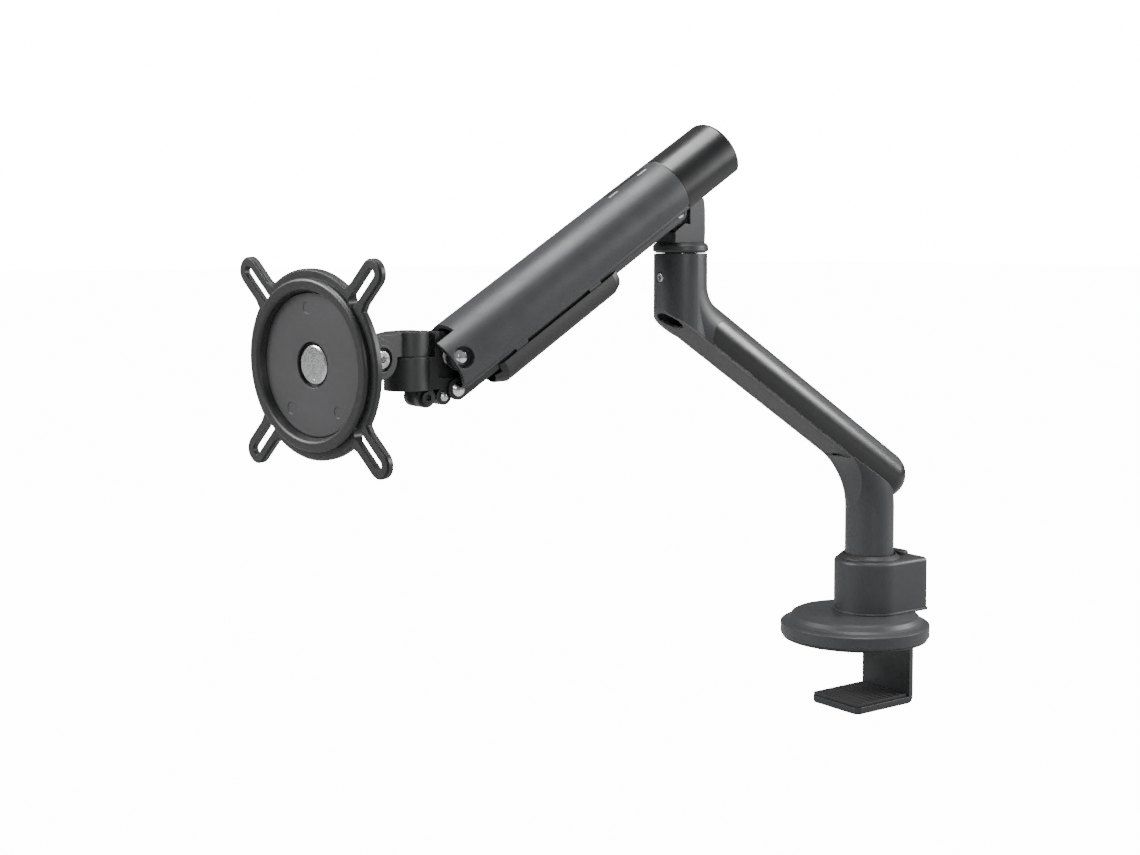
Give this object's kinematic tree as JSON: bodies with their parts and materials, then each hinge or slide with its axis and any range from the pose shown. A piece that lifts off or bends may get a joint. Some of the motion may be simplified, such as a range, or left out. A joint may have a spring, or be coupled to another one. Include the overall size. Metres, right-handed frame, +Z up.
{
  "type": "desk clamp monitor arm",
  "caption": "Desk-clamp monitor arm: swivelling lower arm, spring-balanced upper arm with cable clip, and a tilting, turning screen plate with slotted ears.",
  "frame": {"origin": "on the post's swivel axis, at the underside of the base pad where it rests on the desk", "axes": "+Z up along the post's swivel axis; -Y the way the arm reaches out at rest, so the clamp leg is at +Y; +X to the right of someone who faces the screen plate's front"},
  "size_m": [0.1276, 0.5106, 0.4105],
  "materials": {
    "powder_coat": "satin textured powder coat, dark grey",
    "powder_dark": "satin powder coat, near black",
    "gloss_black": "gloss",
    "matte_black": "matte, lightly textured",
    "rubber": "matte rubber",
    "steel": "turned, bright",
    "chrome": "polished",
    "blackened_steel": "black oxide, satin",
    "bearing": "natural bearing plastic, smooth",
    "lens": "smoky window, gloss"
  },
  "bodies": {
    "clamp": {"base_plate": "powder_coat", "base_pad": "rubber", "clamp_housing": "powder_coat", "housing_screws": "blackened_steel", "base_spindle": "steel", "base_collar": "matte_black", "swivel_washer": "bearing", "screw_cap": "matte_black"},
    "clamp_jaw": {"clamp_bracket": "powder_coat", "jaw_pad": "rubber", "clamp_nut": "blackened_steel"},
    "clamp_screw": {"clamp_screw": "blackened_steel"},
    "lower_arm": {"lower_arm_casting": "powder_coat", "lower_arm_cover": "gloss_black", "lower_cable_cover": "matte_black", "post_bush_lower": "bearing", "post_bush_upper": "bearing", "elbow_bush_lower": "bearing", "elbow_bush_upper": "bearing", "elbow_set_screw": "steel"},
    "elbow": {"elbow_washer": "matte_black", "elbow_ring": "powder_coat", "elbow_spindle": "steel", "elbow_yoke": "powder_coat", "rear_pivot_pin": "steel", "rear_link_pin": "chrome"},
    "upper_arm": {"upper_arm_tube": "powder_coat", "rear_cap": "gloss_black", "indicator_window": "lens", "spring_holder": "blackened_steel", "gas_strut_body": "blackened_steel", "upper_cable_clip": "matte_black", "front_pivot_pin": "chrome"},
    "tension_slide": {"tension_carriage": "matte_black", "gas_strut_rod": "chrome"},
    "tension_screw": {"tension_screw": "steel"},
    "link": {"lower_link": "powder_dark"},
    "front_bracket": {"front_bracket": "powder_dark", "pan_lock_screw": "blackened_steel", "bracket_stop_pin": "steel", "front_pivot_bush": "bearing", "pan_bush": "matte_black", "front_link_pin": "chrome"},
    "pan_head": {"pan_neck": "powder_dark", "pan_pin": "blackened_steel", "pan_circlip": "blackened_steel"},
    "tilt_head": {"tilt_block": "powder_dark", "tilt_screw": "steel", "tilt_nut": "blackened_steel", "swivel_bolt": "steel"},
    "vesa": {"vesa_plate": "powder_dark", "plate_ring": "matte_black", "dish_disc": "matte_black", "swivel_bush": "bearing"}
  },
  "joints": [
    {"name": "clamp_slide", "type": "slide", "parent": "clamp", "child": "clamp_jaw", "axis": [0, 0, 1], "range_m": [-0.0065, 0.032]},
    {"name": "clamp_screw_turn", "type": "hinge", "parent": "clamp", "child": "clamp_screw", "pos_m": [0, 0.0282, 0.04], "axis": [0, 0, 1], "range_deg": [-11520, 2340]},
    {"name": "base_swivel", "type": "hinge", "parent": "clamp", "child": "lower_arm", "pos_m": [0, 0, 0.1], "axis": [0, 0, 1], "range_deg": [-180, 180]},
    {"name": "elbow_swivel", "type": "hinge", "parent": "lower_arm", "child": "elbow", "pos_m": [0, -0.178, 0.27], "axis": [0, 0, 1], "range_deg": [-150, 150]},
    {"name": "arm_lift", "type": "hinge", "parent": "elbow", "child": "upper_arm", "pos_m": [0, -0.19, 0.3223], "axis": [-1, 0, 0], "range_deg": [-7.9, 62.1]},
    {"name": "link_turn", "type": "hinge", "parent": "elbow", "child": "link", "pos_m": [0, -0.188, 0.3029], "axis": [-1, 0, 0], "range_deg": [-7.9, 62.1]},
    {"name": "bracket_level", "type": "hinge", "parent": "upper_arm", "child": "front_bracket", "pos_m": [0, -0.35858, 0.21655], "axis": [-1, 0, 0], "range_deg": [-62.1, 7.9]},
    {"name": "tension_slide_run", "type": "slide", "parent": "upper_arm", "child": "tension_slide", "axis": [0, -0.8471, -0.5314], "range_m": [-0.006, 0.012]},
    {"name": "tension_screw_turn", "type": "hinge", "parent": "upper_arm", "child": "tension_screw", "pos_m": [0, -0.18437, 0.31332], "axis": [0, -0.8471, -0.5314], "range_deg": [-4320, 2160]},
    {"name": "pan", "type": "hinge", "parent": "front_bracket", "child": "pan_head", "pos_m": [0, -0.38548, 0.21655], "axis": [0, 0, 1], "range_deg": [-103, 77]},
    {"name": "tilt", "type": "hinge", "parent": "pan_head", "child": "tilt_head", "pos_m": [0.00781, -0.41929, 0.21785], "axis": [-0.9744, -0.225, 0], "range_deg": [-42.5, 47.5]},
    {"name": "plate_turn", "type": "hinge", "parent": "tilt_head", "child": "vesa", "pos_m": [0.01635, -0.45628, 0.21619], "axis": [0.2247, -0.9734, -0.0436], "range_deg": [-180, 180]}
  ],
  "couplings": [
    {"joint": "clamp_screw_turn", "follows": "clamp_slide", "rad_per_m": -6283.2},
    {"joint": "link_turn", "follows": "arm_lift", "ratio": 1},
    {"joint": "bracket_level", "follows": "arm_lift", "ratio": -1},
    {"joint": "tension_screw_turn", "follows": "tension_slide_run", "rad_per_m": -6283.2}
  ]
}
